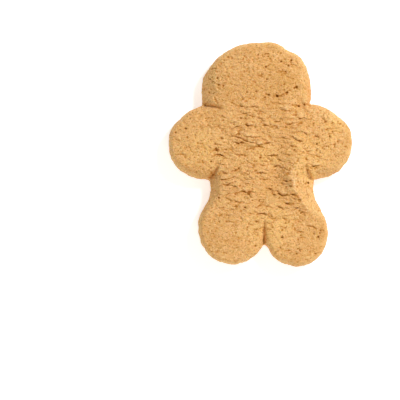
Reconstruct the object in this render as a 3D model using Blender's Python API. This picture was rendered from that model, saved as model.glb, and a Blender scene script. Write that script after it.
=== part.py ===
"""A soft ginger molasses cookie, cut by wire from a person-shaped die and baked flat.

It is one solid that lies on its flat base. The die leaves the side and the rim smooth. The wire tears the
top into shingles whose lips face the feet. Lengths are in millimetres, and the mesh is made in metres, with
+Z up, the head towards +Y and the origin under the middle of the box round the cookie.
"""

import math

import bpy
import numpy as np
from mathutils.geometry import delaunay_2d_cdt
from mathutils.kdtree import KDTree

MM = 0.001

# Lobes of the outline: centre x, centre y, half width, half height, turn in degrees
TRUNK = (0.9, -11.0, 22.1, 24.0, 0.0)
LEG_RIGHT = (15.2, -32.4, 13.7, 15.4, 12.0)
LEG_LEFT = (-11.8, -31.6, 14.5, 15.3, -5.0)
ARM_RIGHT = (21.6, 5.8, 18.0, 15.5, -22.0)
ARM_RIGHT_CORNER = (33.8, 9.6, 4.4, 4.4, 0.0)
ARM_LEFT = (-21.2, 5.4, 18.0, 15.6, 18.0)
ARM_LEFT_CORNER = (-33.4, 8.6, 4.6, 4.6, 0.0)
HEAD = (-1.5, 27.5, 23.5, 20.3, 5.0)
HEAD_CORNER = (12.3, 36.4, 6.8, 6.8, 0.0)
HEAD_TOP = (4.4, 41.3, 6.8, 6.5, 0.0)

# Fillets where lobes meet
CROTCH_FILLET = 0.9
HIP_FILLET = 6.5
ARMPIT_FILLET = 0.8
CORNER_FILLET = 2.5
NECK_FILLET = 1.5
EDGE_SPREAD = 0.3
EDGE_WAVES = ((6.0, 0.20), (2.3, 0.20), (1.1, 0.10))

# Heights and the section of the edge
WIDEST_Z = 4.4
SHOULDER_Z = 10.9
CEILING_START = 12.5
CEILING_ROOM = 0.8
CROWN = 1.6
CROWN_REACH = 8.0
FOOT_INSET = 1.8
RIM_WIDTH = 2.3
LIP_INSET = 1.3
SIDE_WAVE = 0.12
SIDE_WAVE_SIZE = 4.0

# Places where the rim is wider and the wire didn't tear it: x, y, reach, extra width
SMOOTH_SLOPES = (
    (-21.0, 28.0, 7.5, 5.0),
    (24.5, 17.5, 6.5, 1.6),
    (31.0, 13.5, 7.0, 2.4),
    (34.0, -3.0, 6.0, 1.2),
    (20.5, 28.5, 6.5, 2.4),
    (25.5, -8.5, 5.0, 3.2),
)
# The same at the waist, where the slopes end at the armpits' creases
WAIST_SLOPES = ((20.0, -13.5, 8.0, 6.8), (-20.0, -13.0, 8.0, 3.5))
# Places where it is wider and torn
TORN_SLOPES = ((-27.0, -8.0, 6.5, 2.6), (21.0, 31.0, 7.0, 2.6))
WIDEST_EXTRA = 5.0

# Where the top is torn: this far inside the edge and, on a smooth slope, past this share of its width.
# A slope that is this much wider than the rim is smooth all over.
TORN_INSETS = (0.5, 2.2)
SLOPE_BORDER = (0.82, 0.98)
SMOOTH_EXTRA = 1.6

# The lump under the right arm: x, y, reach, height
ARM_LUMP = (26.0, -6.6, 3.2, 0.7)
LUMP_INSETS = (0.5, 2.5)

# Broad hollows of the top: x, y, reach, depth
HOLLOWS = (
    (5.5, 4.0, 6.0, 0.5),
    (5.5, -4.0, 6.0, 0.9),
    (6.4, -11.5, 5.4, 1.4),
    (3.0, -19.5, 6.5, 0.9),
    (4.0, 24.0, 8.0, 0.5),
    (18.0, 20.6, 3.2, 0.9),
    (24.0, 8.0, 7.5, 0.6),
    (-10.0, -4.0, 9.0, 0.5),
    (15.0, -31.5, 7.0, 0.9),
)

# Creases that run in from the notches of the outline: start x, y, end x, y, width, and the share of the
# height above the widest line that they take away at the notch
CREASES = (
    (1.6, -40.0, 1.5, -27.5, 1.3, 0.66),
    (-24.6, 21.4, -15.5, 19.4, 1.8, 0.62),
    (21.6, 21.6, 14.0, 19.7, 1.6, 0.45),
    (21.9, -9.6, 18.6, -4.6, 0.5, 0.42),
    (-22.0, -10.8, -17.8, -4.8, 2.0, 0.75),
)
CREASE_FLOOR = 0.35
SLIT_SHARE = 0.3
CREASE_START = -2.5
CREASE_FALL = 0.75
CREASE_EDGE = 1.5
ARMPIT_CREASES = (CREASES[3], CREASES[4])
ARMPIT_BORDER = (-0.8, 0.2)

# The burr that the wire threw up along the right side of the waist
WAIST_BURR = (
    (16.6, -2.4),
    (13.0, -8.0),
    (13.7, -11.5),
    (15.0, -15.8),
    (17.0, -19.2),
    (20.0, -23.4),
    (22.4, -28.0),
)
BURR_HEIGHT = 1.6
BURR_SHARP = 0.4
BURR_SHARP_WIDTH = 0.9
BURR_INNER_WIDTH = 4.0
BURR_OUTER_WIDTH = 2.8
BURR_FADE = (-33.0, -18.0)
BURR_WANDERS = ((2.4, 0.7, 3), (1.1, 0.5, 13))
BURR_LUMPS = (1.8, 0.45, 9)
BURR_REACH = (0.1, 0.6)
BURR_BORDER = (0.0, 0.6)
BURR_INSETS = (1.0, 3.0)

# Long tears of the top: x, y, half length, turn in degrees, half depth
LONG_TEARS = (
    (2.6, 8.5, 2.8, -24.0, 0.70),
    (9.0, 7.3, 5.4, -2.0, 0.60),
    (0.0, 18.5, 3.8, -18.0, 0.55),
    (10.3, 19.1, 4.2, -8.0, 0.60),
    (13.2, 13.4, 4.4, 0.0, 0.65),
    (3.8, 12.7, 5.2, 0.0, 0.50),
    (19.0, 15.6, 4.2, -8.0, 0.70),
    (27.3, 14.7, 1.8, -36.0, 0.50),
    (28.9, 11.3, 3.6, 11.0, 0.50),
    (18.8, 9.5, 2.9, -26.0, 0.55),
    (24.4, 7.8, 2.8, -30.0, 0.60),
    (28.6, 3.9, 3.2, 8.0, 0.45),
    (14.1, 3.8, 2.8, 2.0, 0.45),
    (3.4, 0.0, 4.2, 0.0, 0.60),
    (11.4, 0.4, 2.8, -14.0, 0.60),
    (8.4, -1.7, 2.4, -20.0, 0.50),
    (-0.3, -3.8, 3.2, -16.0, 0.50),
    (9.7, -5.7, 3.6, -22.0, 0.65),
    (11.6, -10.8, 2.6, 2.0, 0.65),
    (3.7, -14.5, 2.4, 4.0, 0.50),
    (8.4, -16.8, 2.9, -8.0, 0.60),
    (13.6, -16.2, 2.4, 2.0, 0.45),
    (-0.4, -19.0, 3.8, 1.0, 0.65),
    (12.2, -20.5, 2.8, -4.0, 0.50),
    (17.8, -24.2, 2.4, -18.0, 0.60),
    (17.0, -32.6, 1.8, -10.0, 0.50),
    (21.8, -30.8, 3.2, -13.0, 0.50),
    (24.4, -4.4, 4.8, -10.0, 0.75),
    (31.5, -6.2, 2.6, -35.0, 0.60),
    (9.4, 35.4, 2.8, -4.0, 0.55),
    (12.4, 33.0, 2.6, -28.0, 0.45),
    (11.0, 27.0, 3.6, 30.0, 0.50),
    (2.8, 26.1, 1.8, -27.0, 0.45),
)

# The share of its depth that a tear has in the limbs, what the trunk and the head add, and what the feet
# take away. The trunk's is an ellipse, whose share grows over a band given as distances inside its edge.
TORN_TRUNK = (2.0, -4.0, 25.0, 29.0, 0.0)
TORN_TRUNK_BORDER = (-4.0, 6.0)
TORN_HEAD_Y = (14.0, 20.0)
TORN_FEET_Y = (-24.0, -32.0)
TORN_LIMBS = 0.34
TORN_HEAD_MORE = 0.08
TORN_TRUNK_MORE = 0.66
TORN_FEET_LESS = 0.13

# The shorter tears between them, drawn at random
TEAR_ROW = 3.1
TEAR_STEP = 6.5
TEAR_HALF_LENGTHS = (1.8, 5.0)
TEAR_DEPTHS = (0.25, 0.65)
TEAR_TURN = 14.0
TEAR_HEADING = -4.0
TEAR_SHIFTS = (0.45, 0.35)
TEAR_CLEARANCE = 2.0
TEAR_INSET = 3.6
TEAR_SEED = 11

# Overlapping plates that the wire dragged towards the feet: width, height, relief, seed
PLATES = (4.6, 2.5, 0.60, 71)
PLATE_CONTRAST = 1.4
CELL_SHIFT = 0.4
CELL_RAGGED = (0.35, 0.2, 0.26)

# Section of a tear: how fast it rises to its lip, drops over it and recovers below it
TEAR_RISE = 2.2
TEAR_DROP = 0.35
TEAR_RECOVERY = 1.2
TEAR_JAG = 0.5
TEAR_JAG_SIZE = 2.2

# Uneven crumb: size across and height of each field of bumps
CRUMB = ((9.0, 0.30), (3.4, 0.12))

# Spacing of the vertices
SPACING = 1.28
TEAR_SPACING = 1.35
LIP_OFFSET = 0.28
LIP_REACH = 0.85
LIP_SPACING = 1.6 * LIP_OFFSET
LIP_CLEARANCE = 0.62 * SPACING
GRID_MARGIN = 0.6
BASE_SPACING = 6.0
JITTER = 0.16
LATTICE = 256
TRACE_STEPS = 3600
FOOT_STEPS = 3
FOOT_CROWDING = 0.8
SHOULDER_STEPS = 4

COOKIE_BROWN = (0.73, 0.40, 0.15, 1.0)
COOKIE_ROUGHNESS = 0.85


def noise(x, y, size, seed):
    """A smooth random field from -1 to 1, whose bumps are about size across."""
    lattice = np.random.default_rng(seed).uniform(-1.0, 1.0, (LATTICE, LATTICE))
    u, v = x / size + 20.0 + 0.37 * seed, y / size + 20.0 + 0.61 * seed
    column, row = np.floor(u).astype(int), np.floor(v).astype(int)
    fu, fv = u - column, v - row
    fu, fv = fu * fu * (3 - 2 * fu), fv * fv * (3 - 2 * fv)
    column, row = column % LATTICE, row % LATTICE
    right, above = (column + 1) % LATTICE, (row + 1) % LATTICE
    near = lattice[row, column] * (1 - fu) + lattice[row, right] * fu
    far = lattice[above, column] * (1 - fu) + lattice[above, right] * fu
    return near * (1 - fv) + far * fv


def smooth_step(value, low, high):
    share = np.clip((value - low) / (high - low), 0.0, 1.0)
    return share * share * (3 - 2 * share)


def turned(x, y, degrees):
    """The coordinates along and across a direction at this angle to +X."""
    cosine, sine = math.cos(math.radians(degrees)), math.sin(math.radians(degrees))
    return x * cosine + y * sine, y * cosine - x * sine


def lobe_distance(x, y, lobe):
    """Distance to an elliptic lobe's edge, below zero inside it."""
    centre_x, centre_y, half_width, half_height, turn = lobe
    u, v = turned(x - centre_x, y - centre_y, turn)
    scaled = np.hypot(u / half_width, v / half_height)
    slope = np.hypot(u / half_width**2, v / half_height**2)
    return scaled * (scaled - 1) / np.maximum(slope, 1e-9)


def joined(first, second, fillet):
    """The distance to two shapes made one, with a fillet in the notch between them."""
    share = np.clip(0.5 + 0.5 * (second - first) / fillet, 0.0, 1.0)
    return second * (1 - share) + first * share - fillet * share * (1 - share)


def outline_distance(x, y):
    legs = joined(lobe_distance(x, y, LEG_RIGHT), lobe_distance(x, y, LEG_LEFT), CROTCH_FILLET)
    body = joined(lobe_distance(x, y, TRUNK), legs, HIP_FILLET)
    for arm, corner in ((ARM_RIGHT, ARM_RIGHT_CORNER), (ARM_LEFT, ARM_LEFT_CORNER)):
        arm_distance = joined(lobe_distance(x, y, arm), lobe_distance(x, y, corner), CORNER_FILLET)
        body = joined(body, arm_distance, ARMPIT_FILLET)
    head = joined(lobe_distance(x, y, HEAD), lobe_distance(x, y, HEAD_CORNER), CORNER_FILLET)
    head = joined(head, lobe_distance(x, y, HEAD_TOP), CORNER_FILLET)
    waves = sum(depth * noise(x, y, size, 1 + 100 * i) for i, (size, depth) in enumerate(EDGE_WAVES))
    return joined(body, head, NECK_FILLET) + waves - EDGE_SPREAD


def traced_outline():
    """Points of the edge, found along rays from the middle, and the direction inwards at each."""
    angle = np.linspace(0.0, 2 * math.pi, TRACE_STEPS, endpoint=False)
    low = np.zeros(TRACE_STEPS)
    high = np.full(TRACE_STEPS, 80.0)
    for _ in range(40):
        middle = (low + high) / 2
        inside = outline_distance(middle * np.cos(angle), middle * np.sin(angle)) < 0
        low = np.where(inside, middle, low)
        high = np.where(inside, high, middle)
    edge = np.stack([low * np.cos(angle), low * np.sin(angle)], axis=1)
    along = np.roll(edge, -3, axis=0) - np.roll(edge, 3, axis=0)
    along /= np.linalg.norm(along, axis=1, keepdims=True)
    return edge, np.stack([-along[:, 1], along[:, 0]], axis=1)


def columns_round(edge, inwards):
    """Even columns round the cookie: spaced evenly where the side meets the top, and so closer in a notch."""
    lip = edge + LIP_INSET * inwards
    steps = np.linalg.norm(np.roll(lip, -1, axis=0) - lip, axis=1)
    travelled = np.concatenate([[0.0], np.cumsum(steps)])
    count = round(travelled[-1] / SPACING)
    wanted = np.arange(count) * travelled[-1] / count
    both = np.concatenate([edge, inwards], axis=1)
    both = np.concatenate([both, both[:1]])
    picked = np.stack([np.interp(wanted, travelled, both[:, i]) for i in range(4)], axis=1)
    return picked[:, :2], picked[:, 2:] / np.linalg.norm(picked[:, 2:], axis=1, keepdims=True)


def inset_finder(edge):
    """A function that gives how far inside the edge each point lies."""
    tree = KDTree(len(edge))
    for index, point in enumerate(edge):
        tree.insert((point[0], point[1], 0.0), index)
    tree.balance()

    def inset(x, y):
        return np.array([tree.find((px, py, 0.0))[2] for px, py in zip(x, y)])

    return inset


def tornness(x, y):
    """How badly the wire tore the top: 1 on the trunk, less on the head and the arms, least on the feet."""
    trunk = smooth_step(-lobe_distance(x, y, TORN_TRUNK), *TORN_TRUNK_BORDER)
    head = smooth_step(y, *TORN_HEAD_Y)
    feet = smooth_step(y, *TORN_FEET_Y)
    return TORN_LIMBS + TORN_TRUNK_MORE * trunk + TORN_HEAD_MORE * head - TORN_FEET_LESS * feet


def drawn_tears(inset):
    """Every tear of the top: the long ones, and shorter ones in uneven rows between them."""
    random = np.random.default_rng(TEAR_SEED)
    tears = list(LONG_TEARS)
    for row in np.arange(-44.0, 46.0, TEAR_ROW):
        for step in np.arange(-36.0, 37.0, TEAR_STEP):
            x = step + random.uniform(-TEAR_SHIFTS[0], TEAR_SHIFTS[0]) * TEAR_STEP
            y = row + random.uniform(-TEAR_SHIFTS[1], TEAR_SHIFTS[1]) * TEAR_ROW
            half = random.uniform(*TEAR_HALF_LENGTHS)
            turn = random.normal(TEAR_HEADING, TEAR_TURN)
            depth = random.uniform(*TEAR_DEPTHS) * tornness(x, y)
            clear = all(
                math.hypot((x - tear[0]) / (tear[2] + half), (y - tear[1]) / TEAR_CLEARANCE) > 1
                for tear in LONG_TEARS
            )
            if clear and outline_distance(x, y) < 0 and inset([x], [y])[0] > TEAR_INSET:
                tears.append((x, y, half, turn, depth))
    return tears


def tear_relief(x, y, tears):
    """Shingles: the top rises to each tear's lip and drops over it, on the side of the feet."""
    jag = TEAR_JAG * noise(x, y, TEAR_JAG_SIZE, 2)
    height = np.zeros(len(x))
    for centre_x, centre_y, half, turn, depth in tears:
        u, v = turned(x - centre_x, y - centre_y, turn)
        v = v + jag
        strength = depth * np.clip(1 - (u / half) ** 2, 0.0, 1.0)
        fade = np.where(v > 0, np.exp(-np.abs(v) / TEAR_RISE), np.exp(-np.abs(v) / TEAR_RECOVERY))
        height += strength * np.tanh(v / TEAR_DROP) * fade
    return height


def cells(x, y, width, height, seed):
    """The uneven cell round each point: how far off its middle is, how far below, and the cell's strength."""
    random = np.random.default_rng(seed)
    shift = random.uniform(-CELL_SHIFT, CELL_SHIFT, (LATTICE, LATTICE, 2))
    strengths = random.uniform(0.0, 1.0, (LATTICE, LATTICE))
    size, along, across = CELL_RAGGED
    u = x / width + along * noise(x, y, size * width, seed + 10) + LATTICE / 2
    v = y / height + across * noise(x, y, size * width, seed + 11) + LATTICE / 2
    column, row = np.floor(u).astype(int), np.floor(v).astype(int)
    nearest = np.full(len(x), 1e9)
    above, strength = np.zeros(len(x)), np.zeros(len(x))
    for near_row in (row - 1, row, row + 1):
        for near_column in (column - 1, column, column + 1):
            moved = shift[near_row, near_column]
            du = u - near_column - 0.25 - moved[:, 0] - 0.5 * (near_row % 2)
            dv = v - near_row - 0.5 - moved[:, 1]
            distance = np.hypot(du, dv)
            closer = distance < nearest
            nearest = np.where(closer, distance, nearest)
            above = np.where(closer, dv, above)
            strength = np.where(closer, strengths[near_row, near_column], strength)
    return nearest, above, strength


def plate_relief(x, y, plates):
    """Plates that each tilt up towards the feet and end there in a step down to the next one."""
    width, height, relief, seed = plates
    _, above, strength = cells(x, y, width, height, seed)
    return -relief * above * strength**PLATE_CONTRAST


def crease_share(x, y):
    """The share of the height that creases take away: most at the notch, and none where they run out."""
    share = np.zeros(len(x))
    for start_x, start_y, end_x, end_y, width, most in CREASES:
        run = math.hypot(end_x - start_x, end_y - start_y)
        heading = math.degrees(math.atan2(end_y - start_y, end_x - start_x))
        u, v = turned(x - start_x, y - start_y, heading)
        left = np.clip(1 - u / run, 0.0, 1.0) * smooth_step(u, CREASE_START, 0.0)
        flank = np.exp(-((np.abs(v) / (CREASE_FLOOR + width * left)) ** CREASE_EDGE))
        slit = np.exp(-((np.abs(v) / (CREASE_FLOOR + SLIT_SHARE * width * left)) ** CREASE_EDGE))
        section = 0.5 * flank + 0.5 * slit
        share = np.maximum(share, most * left**CREASE_FALL * section)
    return share


def burr_distance(x, y):
    """How far each point is from the burr, and whether it lies on the side of the die."""
    x = x + sum(far * noise(x, y, size, seed) for size, far, seed in BURR_WANDERS)
    nearest = np.full(len(x), 1e9)
    outer = np.zeros(len(x), bool)
    for (ax, ay), (bx, by) in zip(WAIST_BURR, WAIST_BURR[1:]):
        run = np.array([bx - ax, by - ay])
        share = np.clip(((x - ax) * run[0] + (y - ay) * run[1]) / run.dot(run), 0.0, 1.0)
        away_x, away_y = x - ax - share * run[0], y - ay - share * run[1]
        distance = np.hypot(away_x, away_y)
        outer = np.where(distance < nearest, away_y * run[0] - away_x * run[1] > 0, outer)
        nearest = np.minimum(nearest, distance)
    return nearest, outer


def burr_relief(x, y):
    """The ridge along the waist: steep on the torn side, and easy on the side of the die."""
    nearest, outer = burr_distance(x, y)
    inner = BURR_SHARP * np.exp(-((nearest / BURR_SHARP_WIDTH) ** 1.5))
    inner += (1 - BURR_SHARP) * np.exp(-((nearest / BURR_INNER_WIDTH) ** 2))
    profile = np.where(outer, np.exp(-((nearest / BURR_OUTER_WIDTH) ** 1.5)), inner)
    lump_size, lump_share, lump_seed = BURR_LUMPS
    lumpy = 1 + lump_share * noise(x, y, lump_size, lump_seed)
    return BURR_HEIGHT * profile * lumpy * smooth_step(y, *BURR_FADE)


def spots(x, y, places):
    """The sum of round soft spots: x, y, reach, amount."""
    total = np.zeros(len(x))
    for centre_x, centre_y, reach, amount in places:
        total += amount * np.exp(-((x - centre_x) ** 2 + (y - centre_y) ** 2) / reach**2)
    return total


def waist_slopes(x, y, slopes=WAIST_SLOPES):
    """The wide slopes of the waist, each cut off along the crease of its armpit."""
    total = np.zeros(len(x))
    for slope, crease in zip(slopes, ARMPIT_CREASES):
        start_x, start_y, end_x, end_y = crease[:4]
        heading = math.degrees(math.atan2(end_y - start_y, end_x - start_x))
        across = turned(x - start_x, y - start_y, heading)[1] * math.copysign(1.0, start_x)
        total += spots(x, y, (slope,)) * smooth_step(across, *ARMPIT_BORDER)
    return total


def top_height(x, y, inset, tears):
    """Height of the rim and the top at points that lie inset inside the edge."""
    smooth = spots(x, y, SMOOTH_SLOPES) + waist_slopes(x, y)
    rim = RIM_WIDTH + smooth + spots(x, y, TORN_SLOPES)
    climb = np.clip(inset / rim, 0.0, 1.0)
    flat = np.clip(smooth / WIDEST_EXTRA, 0.0, 1.0)
    rise = (1 - (1 - climb) ** (2 - 0.5 * flat)) ** (1 / (2 - 0.75 * flat))
    height = WIDEST_Z + (SHOULDER_Z - WIDEST_Z) * rise
    height += CROWN * (1 - np.exp(-np.maximum(inset - rim, 0.0) / CROWN_REACH))
    torn = smooth_step(inset, *TORN_INSETS)
    torn *= 1 - np.clip(smooth / SMOOTH_EXTRA, 0.0, 1.0) * (1 - smooth_step(inset / rim, *SLOPE_BORDER))
    nearest, outer = burr_distance(x, y)
    beside = smooth_step(waist_slopes(x, y, WAIST_SLOPES[:1]), *BURR_REACH)
    torn *= 1 - beside * smooth_step(np.where(outer, nearest, -nearest), *BURR_BORDER)
    for seed, (size, depth) in enumerate(CRUMB, 4):
        height += depth * torn * noise(x, y, size, seed)
    plates = plate_relief(x, y, PLATES) * tornness(x, y)
    height += torn * (tear_relief(x, y, tears) + plates - spots(x, y, HOLLOWS))
    height += smooth_step(inset, *BURR_INSETS) * burr_relief(x, y)
    height += smooth_step(inset, *LUMP_INSETS) * spots(x, y, (ARM_LUMP,))
    height -= (height - WIDEST_Z) * crease_share(x, y) * smooth_step(inset, 0.0, LIP_INSET)
    over = np.maximum(height - CEILING_START, 0.0)
    return np.where(over > 0, CEILING_START + CEILING_ROOM * np.tanh(over / CEILING_ROOM), height)


def edge_rings(edge, inwards, tears):
    """Rings of points from the rim of the base, round the widest line, up to the lip of the top."""
    wave = SIDE_WAVE * noise(edge[:, 0] + edge[:, 1], edge[:, 0] - edge[:, 1], SIDE_WAVE_SIZE, 8)
    rings = []
    for step in range(FOOT_STEPS):
        angle = math.pi / 2 * (step / FOOT_STEPS) ** FOOT_CROWDING
        inset = FOOT_INSET * (1 - math.sin(angle)) + wave * math.sin(angle)
        place = edge + inwards * np.reshape(inset, (-1, 1))
        rings.append(np.column_stack([place, np.full(len(edge), WIDEST_Z * (1 - math.cos(angle)))]))
    for step in range(SHOULDER_STEPS + 1):
        inset = LIP_INSET * (step / SHOULDER_STEPS) ** 2
        place = edge + inwards * (inset + wave * (1 - step / SHOULDER_STEPS))[:, None]
        height = top_height(place[:, 0], place[:, 1], np.full(len(edge), inset), tears)
        rings.append(np.column_stack([place, height]))
    return rings


def grid_points(spacing, margin, inset, random):
    """Uneven triangular grid of points, all more than margin inside the edge."""
    x, y = np.meshgrid(np.arange(-42.0, 42.0, spacing), np.arange(-52.0, 52.0, spacing * math.sqrt(3) / 2))
    x = x + (np.arange(len(x)) % 2)[:, None] * spacing / 2
    points = np.stack([x.ravel(), y.ravel()], axis=1)
    points += random.uniform(-JITTER, JITTER, points.shape) * spacing
    points = points[outline_distance(points[:, 0], points[:, 1]) < 0]
    return points[inset(points[:, 0], points[:, 1]) > margin]


def lip_points(tears, inset):
    """Points just above and just below each tear, so that its lip is crisp."""
    points = []
    for centre_x, centre_y, half, turn, _ in tears:
        cosine, sine = math.cos(math.radians(turn)), math.sin(math.radians(turn))
        count = max(2, round(2 * LIP_REACH * half / TEAR_SPACING))
        for u in np.linspace(-LIP_REACH * half, LIP_REACH * half, count):
            x, y = centre_x + u * cosine, centre_y + u * sine
            for _ in range(3):
                across = turned(x - centre_x, y - centre_y, turn)[1]
                across += TEAR_JAG * noise(x, y, TEAR_JAG_SIZE, 2)
                x, y = x + across * sine, y - across * cosine
            for side in (-LIP_OFFSET, LIP_OFFSET):
                points.append((x - side * sine, y + side * cosine))
    points = np.array(points)
    return points[inset(points[:, 0], points[:, 1]) > LIP_INSET + SPACING]


def spread_out(points, others, clearance):
    """The points that keep clear of the others."""
    tree = KDTree(len(others))
    for index, other in enumerate(others):
        tree.insert((other[0], other[1], 0.0), index)
    tree.balance()
    return np.array([p for p in points if tree.find((p[0], p[1], 0.0))[2] > clearance])


def thinned(points, clearance):
    """The points without any that lies too close to an earlier one."""
    kept = []
    for point in points:
        if all(abs(point[0] - k[0]) + abs(point[1] - k[1]) > clearance for k in kept):
            kept.append(point)
    return np.array(kept)


def triangulated(ring, inner):
    """Triangles over the region inside a ring: indices count the ring's points first, then the inner ones."""
    flat = [tuple(point) for point in np.concatenate([ring, inner])]
    found = delaunay_2d_cdt(flat, [], [list(range(len(ring)))], 1, 1e-6)
    origin = [sources[0] for sources in found[3]]
    return [tuple(origin[corner] for corner in face) for face in found[2]]


def cookie_mesh():
    """Vertices and faces of the whole closed skin."""
    random = np.random.default_rng(TEAR_SEED + 1)
    outline, outline_inwards = traced_outline()
    inset = inset_finder(outline)
    tears = drawn_tears(inset)
    edge, inwards = columns_round(outline, outline_inwards)
    rings = edge_rings(edge, inwards, tears)
    count = len(edge)

    lips = thinned(lip_points(tears, inset), LIP_SPACING)
    grid = grid_points(SPACING, LIP_INSET + GRID_MARGIN * SPACING, inset, random)
    fill = spread_out(grid, lips, LIP_CLEARANCE)
    inner = np.concatenate([lips, fill])
    height = top_height(inner[:, 0], inner[:, 1], inset(inner[:, 0], inner[:, 1]), tears)
    floor = grid_points(BASE_SPACING, FOOT_INSET + GRID_MARGIN * BASE_SPACING, inset, random)

    top = np.column_stack([inner, height])
    base = np.column_stack([floor, np.zeros(len(floor))])
    vertices = np.concatenate([*rings, top, base])
    faces = []
    for level in range(len(rings) - 1):
        for column in range(count):
            across = (column + 1) % count
            faces.append(
                (
                    level * count + column,
                    level * count + across,
                    (level + 1) * count + across,
                    (level + 1) * count + column,
                )
            )
    top_start = (len(rings) - 1) * count
    faces += [tuple(top_start + corner for corner in face) for face in triangulated(rings[-1][:, :2], inner)]
    floor_start = len(vertices) - len(floor)
    for face in triangulated(rings[0][:, :2], floor):
        faces.append(tuple(c if c < count else floor_start + c - count for c in reversed(face)))
    middle = (outline.min(axis=0) + outline.max(axis=0)) / 2
    return (vertices - (*middle, 0.0)) * MM, faces


def material(name, colour, roughness):
    made = bpy.data.materials.new(name)
    made.use_nodes = True
    shader = made.node_tree.nodes["Principled BSDF"]
    shader.inputs["Base Color"].default_value = colour
    shader.inputs["Roughness"].default_value = roughness
    return made


def main():
    for leftover in list(bpy.data.objects):
        bpy.data.objects.remove(leftover)
    vertices, faces = cookie_mesh()
    mesh = bpy.data.meshes.new("cookie")
    mesh.from_pydata(vertices.tolist(), [], faces)
    mesh.validate()
    mesh.shade_smooth()
    mesh.materials.append(material("cookie_crumb", COOKIE_BROWN, COOKIE_ROUGHNESS))
    bpy.context.scene.collection.objects.link(bpy.data.objects.new("cookie", mesh))


main()
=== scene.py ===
"""The looks of the ginger molasses cookie: its torn, pitted crumb as a fine mesh, its finish and the view.

The outline, the edge, the creases, the burr and the tears follow the same named values as the solid. Lengths
of the cookie are in millimetres here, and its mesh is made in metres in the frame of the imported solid.
"""

import math

import bpy
import numpy as np
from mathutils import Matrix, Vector
from mathutils.geometry import delaunay_2d_cdt
from mathutils.kdtree import KDTree


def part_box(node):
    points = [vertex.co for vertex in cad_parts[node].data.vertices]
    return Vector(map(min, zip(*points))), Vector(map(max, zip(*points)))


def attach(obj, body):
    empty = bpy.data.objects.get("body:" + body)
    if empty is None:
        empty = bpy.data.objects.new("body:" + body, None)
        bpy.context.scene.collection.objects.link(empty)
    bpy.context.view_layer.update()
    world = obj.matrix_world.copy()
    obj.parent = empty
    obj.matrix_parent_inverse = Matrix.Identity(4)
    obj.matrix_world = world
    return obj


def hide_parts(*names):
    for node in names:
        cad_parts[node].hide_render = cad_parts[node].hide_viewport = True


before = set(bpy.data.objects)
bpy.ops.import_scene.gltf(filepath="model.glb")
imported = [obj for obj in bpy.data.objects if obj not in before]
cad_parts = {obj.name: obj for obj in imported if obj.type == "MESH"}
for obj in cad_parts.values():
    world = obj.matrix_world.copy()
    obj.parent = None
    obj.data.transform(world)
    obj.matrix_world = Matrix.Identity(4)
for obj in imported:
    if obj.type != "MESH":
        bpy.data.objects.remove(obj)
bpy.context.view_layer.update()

MM = 0.001

# Lobes of the outline: centre x, centre y, half width, half height, turn in degrees
TRUNK = (0.9, -11.0, 22.1, 24.0, 0.0)
LEG_RIGHT = (15.2, -32.4, 13.7, 15.4, 12.0)
LEG_LEFT = (-11.8, -31.6, 14.5, 15.3, -5.0)
ARM_RIGHT = (21.6, 5.8, 18.0, 15.5, -22.0)
ARM_RIGHT_CORNER = (33.8, 9.6, 4.4, 4.4, 0.0)
ARM_LEFT = (-21.2, 5.4, 18.0, 15.6, 18.0)
ARM_LEFT_CORNER = (-33.4, 8.6, 4.6, 4.6, 0.0)
HEAD = (-1.5, 27.5, 23.5, 20.3, 5.0)
HEAD_CORNER = (12.3, 36.4, 6.8, 6.8, 0.0)
HEAD_TOP = (4.4, 41.3, 6.8, 6.5, 0.0)

# Fillets where lobes meet
CROTCH_FILLET = 0.9
HIP_FILLET = 6.5
ARMPIT_FILLET = 0.8
CORNER_FILLET = 2.5
NECK_FILLET = 1.5
EDGE_SPREAD = 0.3
EDGE_WAVES = ((6.0, 0.20), (2.3, 0.20), (1.1, 0.10))
EDGE_WAVE_SEEDS = (1, 100)

# Heights and the section of the edge
WIDEST_Z = 4.4
SHOULDER_Z = 10.9
CEILING_START = 12.5
CEILING_ROOM = 0.8
CROWN = 1.6
CROWN_REACH = 8.0
FOOT_INSET = 1.8
RIM_WIDTH = 2.3
LIP_INSET = 1.3
SIDE_WAVE = 0.12
SIDE_WAVE_SIZE = 4.0
SIDE_WAVE_SEED = 8

# Places where the rim is wider and the wire didn't tear it: x, y, reach, extra width
SMOOTH_SLOPES = (
    (-21.0, 28.0, 7.5, 5.0),
    (24.5, 17.5, 6.5, 1.6),
    (31.0, 13.5, 7.0, 2.4),
    (34.0, -3.0, 6.0, 1.2),
    (20.5, 28.5, 6.5, 2.4),
    (25.5, -8.5, 5.0, 3.2),
)
# The same at the waist, where the slopes end at the armpits' creases
WAIST_SLOPES = ((20.0, -13.5, 8.0, 6.8), (-20.0, -13.0, 8.0, 3.5))
# Places where it is wider and torn
TORN_SLOPES = ((-27.0, -8.0, 6.5, 2.6), (21.0, 31.0, 7.0, 2.6))
WIDEST_EXTRA = 5.0

# Where the top is torn: this far inside the edge and, on a smooth slope, past this share of its width.
# A slope that is this much wider than the rim is smooth all over.
TORN_INSETS = (0.5, 2.2)
SLOPE_BORDER = (0.82, 0.98)
SMOOTH_EXTRA = 1.6
# The border is ragged: size and height of its waves, seed
SLOPE_RAGGED = (1.7, 0.12, 15)

# The lump under the right arm: x, y, reach, height
ARM_LUMP = (26.0, -6.6, 3.2, 0.7)
LUMP_INSETS = (0.5, 2.5)

# Broad hollows of the top: x, y, reach, depth
HOLLOWS = (
    (5.5, 4.0, 6.0, 0.5),
    (5.5, -4.0, 6.0, 0.9),
    (6.4, -11.5, 5.4, 1.4),
    (3.0, -19.5, 6.5, 0.9),
    (4.0, 24.0, 8.0, 0.5),
    (18.0, 20.6, 3.2, 0.9),
    (24.0, 8.0, 7.5, 0.6),
    (-10.0, -4.0, 9.0, 0.5),
    (15.0, -31.5, 7.0, 0.9),
)

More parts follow.
